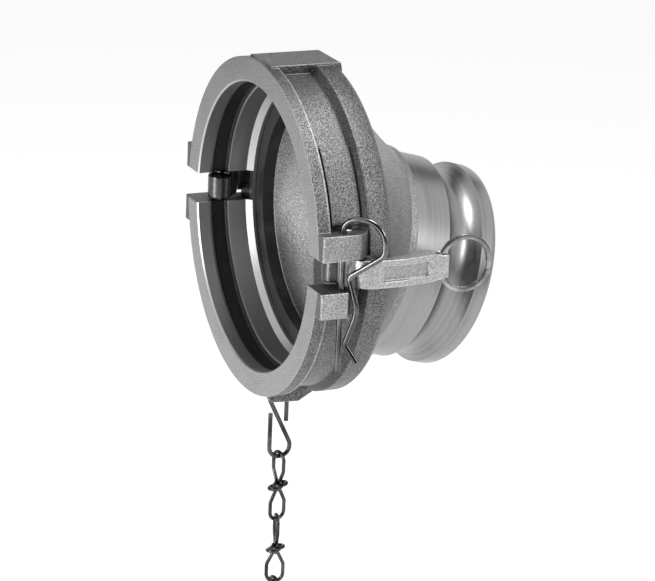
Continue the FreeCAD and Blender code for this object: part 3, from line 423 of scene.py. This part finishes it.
def copied_mesh(node, name, finish):
    made = bpy.data.objects.new(name, nodes[node].data.copy())
    bpy.context.scene.collection.objects.link(made)
    made.data.materials.clear()
    made.data.materials.append(finish)
    bpy.ops.object.select_all(action="DESELECT")
    bpy.context.view_layer.objects.active = made
    made.select_set(True)
    bpy.ops.mesh.customdata_custom_splitnormals_clear()
    bpy.ops.object.mode_set(mode="EDIT")
    bpy.ops.mesh.select_all(action="SELECT")
    bpy.ops.mesh.remove_doubles(threshold=0.000001)
    bpy.ops.mesh.select_all(action="DESELECT")
    bpy.ops.object.mode_set(mode="OBJECT")
    return made


def pick_points(made, low, high):
    # Selects the corners inside a box and leaves the piece in edit mode.
    bpy.ops.object.mode_set(mode="EDIT")
    bpy.ops.mesh.select_mode(type="VERT")
    bpy.ops.mesh.select_all(action="DESELECT")
    drawn = bmesh.from_edit_mesh(made.data)
    for corner in drawn.verts:
        corner.select = all(low[i] <= corner.co[i] <= high[i] for i in range(3))
    drawn.select_flush(True)
    bmesh.update_edit_mesh(made.data)


# The casting's top block lies almost level with the ring and its rear end slopes down to the shoulder.
casting_piece = copied_mesh("elbow_casting", "casting_with_low_block", casting_skin)
pick_points(casting_piece, (-BLOCK_HALF, 2.9 * MM, 97.9 * MM), (BLOCK_HALF, 51 * MM, 101 * MM))
bpy.ops.transform.resize(value=(1, 1, 0), orient_type="GLOBAL", center_override=(0, 0, BLOCK_TOP))
bpy.ops.object.mode_set(mode="OBJECT")
pick_points(casting_piece, (-BLOCK_HALF, BLOCK_REAR, 88.6 * MM), (BLOCK_HALF, 51 * MM, 101 * MM))
bpy.ops.transform.resize(value=(1, 0.3, 1), orient_type="GLOBAL", center_override=(0, BLOCK_REAR, 0))
bpy.ops.object.mode_set(mode="OBJECT")
bpy.ops.object.shade_smooth_by_angle(angle=math.radians(26))
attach(casting_piece, "coupler")
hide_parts("elbow_casting")


def rounded_arm(node, name, body, hand):
    # A cast arm with its edges rounded as the sand mould leaves them.
    # The bare panel's floor follows the leaning face. The hand is 1 on the near side and -1 on the far side.
    made = copied_mesh(node, name, arm_skin)
    bpy.ops.mesh.primitive_cube_add(size=1, location=(hand * PANEL_ACROSS, PANEL_BACK, 0),
                                    rotation=(0, 0, hand * PANEL_LEAN), scale=PANEL_CUT)
    cutter = bpy.context.object
    bpy.context.view_layer.objects.active = made
    pocket = made.modifiers.new("panel_floor", "BOOLEAN")
    pocket.operation = "DIFFERENCE"
    pocket.solver = "EXACT"
    pocket.object = cutter
    bpy.ops.object.modifier_apply(modifier=pocket.name)
    bpy.data.objects.remove(cutter)
    finer = made.modifiers.new("even_skin", "REMESH")
    finer.mode = "VOXEL"
    finer.voxel_size = 0.34 * MM
    bpy.ops.object.modifier_apply(modifier=finer.name)
    soft = made.modifiers.new("soft_edges", "SMOOTH")
    soft.factor = 0.5
    soft.iterations = 4
    bpy.ops.object.modifier_apply(modifier=soft.name)
    bpy.ops.object.shade_smooth()
    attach(made, body)
    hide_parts(node)


rounded_arm("near_arm", "near_rounded_arm", "near_locking_arm", 1)
rounded_arm("far_arm", "far_rounded_arm", "far_locking_arm", -1)


def split_ring(node, name, body):
    # Flat wire wound round twice, with its two ends free
    low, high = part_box(node)
    middle = (low + high) / 2
    outer = (high.z - low.z) / 2
    bpy.ops.object.select_all(action="DESELECT")
    bpy.ops.mesh.primitive_plane_add(size=1, location=(0, 0, 0))
    made = bpy.context.object
    made.name = name
    bpy.ops.object.mode_set(mode="EDIT")
    bpy.ops.mesh.select_all(action="SELECT")
    bpy.ops.transform.resize(value=(FLAT_WIDTH, FLAT_DEPTH, 1))
    bpy.ops.mesh.bevel(offset=FLAT_ROUND, segments=2, affect="VERTICES")
    bpy.ops.transform.translate(value=(-TURN_PITCH, outer - FLAT_INSET, 0))
    bpy.ops.mesh.delete(type="ONLY_FACE")
    bpy.ops.object.mode_set(mode="OBJECT")
    wound = made.modifiers.new("two_turns", "SCREW")
    wound.axis = "X"
    wound.angle = math.radians(350)
    wound.screw_offset = TURN_PITCH
    wound.iterations = 2
    wound.steps = 84
    wound.render_steps = 84
    wound.use_merge_vertices = False
    bpy.ops.object.modifier_apply(modifier=wound.name)
    bpy.ops.object.mode_set(mode="EDIT")
    bpy.ops.mesh.select_all(action="SELECT")
    bpy.ops.mesh.remove_doubles(threshold=0.00001)
    bpy.ops.mesh.select_all(action="DESELECT")
    bpy.ops.mesh.select_mode(type="EDGE")
    bpy.ops.mesh.select_non_manifold()
    bpy.ops.mesh.edge_face_add()
    bpy.ops.mesh.select_all(action="SELECT")
    bpy.ops.mesh.normals_make_consistent(inside=False)
    bpy.ops.transform.translate(value=middle)
    bpy.ops.object.mode_set(mode="OBJECT")
    bpy.ops.object.shade_smooth_by_angle(angle=math.radians(40))
    made.data.materials.clear()
    made.data.materials.append(ring_steel)
    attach(made, body)
    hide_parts(node)


split_ring("near_pull_ring", "near_split_ring", "near_ring")
split_ring("far_pull_ring", "far_split_ring", "far_ring")

# Studio: a pale floor under the chain's end, a white surround and soft lamps.
# The dark cards are seen only as reflections in the metal.

floor_height = cad_low.z - 2 * MM


def stage_finish(name, colour, glow):
    made = bpy.data.materials.new(name)
    made.use_nodes = True
    shader = made.node_tree.nodes["Principled BSDF"]
    shader.inputs["Base Color"].default_value = grey(colour)
    shader.inputs["Roughness"].default_value = 0.9
    shader.inputs["Specular IOR Level"].default_value = 0.1
    if glow:
        shader.inputs["Emission Color"].default_value = (1, 1, 1, 1)
        shader.inputs["Emission Strength"].default_value = glow
    return made


bpy.ops.mesh.primitive_plane_add(size=14, location=(0, 0, floor_height))
floor = bpy.context.object
floor.name = "studio_floor"
floor.data.materials.append(stage_finish("floor_white", 0.55, 0.5))

world = bpy.data.worlds.new("white_surround")
bpy.context.scene.world = world
world.use_nodes = True
sky = world.node_tree
sky.nodes.clear()
seen = sky.nodes.new("ShaderNodeLightPath")
white = sky.nodes.new("ShaderNodeBackground")
white.inputs[0].default_value = (1, 1, 1, 1)
white.inputs[1].default_value = 1.0
fill = sky.nodes.new("ShaderNodeBackground")
fill.inputs[0].default_value = (1, 1, 1, 1)
fill.inputs[1].default_value = 0.75
direct = number(sky, "MAXIMUM", seen.outputs["Is Camera Ray"], seen.outputs["Is Glossy Ray"])
plain = number(sky, "MAXIMUM", direct, seen.outputs["Is Transmission Ray"])
both = sky.nodes.new("ShaderNodeMixShader")
sky_out = sky.nodes.new("ShaderNodeOutputWorld")
sky.links.new(plain, both.inputs[0])
sky.links.new(fill.outputs[0], both.inputs[1])
sky.links.new(white.outputs[0], both.inputs[2])
sky.links.new(both.outputs[0], sky_out.inputs[0])

# The camera's own directions, and where it stands beside the socket's centre
AZIMUTH = math.radians(65.56)
HEIGHT_ANGLE = math.radians(17.92)
ROLL = math.radians(2.5)
DISTANCE = 1.717
SHIFT_SIDE = 44.11284154543695 * MM
SHIFT_TOP = -36.42759331315718 * MM
SENSOR_WIDTH = 36
FOCAL_PIXELS = 3000
PICTURE_WIDTH = 655
flat_share = math.cos(HEIGHT_ANGLE)
back = Vector((math.sin(AZIMUTH) * flat_share, -math.cos(AZIMUTH) * flat_share, math.sin(HEIGHT_ANGLE)))
right = Vector((math.cos(AZIMUTH), math.sin(AZIMUTH), 0))
up = right.cross(back) * -1
side = right * math.cos(ROLL) + up * math.sin(ROLL)
top = up * math.cos(ROLL) - right * math.sin(ROLL)


def lamp(name, place, aim, width, height, watts):
    data = bpy.data.lights.new(name, "AREA")
    data.shape = "RECTANGLE"
    data.size = width
    data.size_y = height
    data.energy = watts
    made = bpy.data.objects.new(name, data)
    bpy.context.scene.collection.objects.link(made)
    made.location = place
    made.rotation_euler = (Vector(aim) - Vector(place)).to_track_quat("-Z", "Y").to_euler()


def dark_card(name, place, aim, width, height, level=0.01):
    bpy.ops.mesh.primitive_plane_add(size=1)
    made = bpy.context.object
    made.name = name
    made.scale = (width, height, 1)
    made.location = place
    made.rotation_euler = (Vector(aim) - Vector(place)).to_track_quat("-Z", "Y").to_euler()
    made.data.materials.append(stage_finish(name + "_black", level, 0.0))
    made.visible_camera = False
    made.visible_diffuse = False
    made.visible_shadow = False


centre = Vector((0, 0.055, 0))
lamp("overhead_softbox", centre + up * 1.1 + back * 0.5 + right * 0.2, centre, 0.5, 0.5, 10)
lamp("left_softbox", centre - right * 1.0 + back * 0.7 - up * 0.25, centre, 0.35, 0.8, 9)
lamp("right_softbox", centre + right * 0.9 + back * 0.9 + up * 0.35, centre, 0.22, 0.5, 5)
dark_card("camera_side_card", centre + back * 2.2 + right * 0.3, centre, 4.2, 3.4)
dark_card("right_low_card", centre + right * 1.7 - up * 0.9 + back * 0.3, centre, 1.2, 1.6)
dark_card("overhead_back_card", centre + up * 1.7 - back * 0.9, centre, 2.2, 1.0)
dark_card("face_card", centre - right * 0.44 + up * 0.24 - back * 0.36, centre, 0.5, 0.34, 0.04)
dark_card("under_card", centre - up * 0.75 + back * 0.2, centre, 1.5, 0.9)

camera_data = bpy.data.cameras.new("photo_camera")
camera = bpy.data.objects.new("photo_camera", camera_data)
bpy.context.scene.collection.objects.link(camera)
camera_data.sensor_width = SENSOR_WIDTH
camera_data.lens = SENSOR_WIDTH * FOCAL_PIXELS / PICTURE_WIDTH
camera_data.clip_start = 0.05
camera_data.clip_end = 60
place = back * DISTANCE + side * SHIFT_SIDE + top * SHIFT_TOP
camera.matrix_world = Matrix((
    (side.x, top.x, back.x, place.x),
    (side.y, top.y, back.y, place.y),
    (side.z, top.z, back.z, place.z),
    (0, 0, 0, 1),
))
bpy.context.scene.camera = camera
bpy.context.scene.view_settings.view_transform = "Standard"
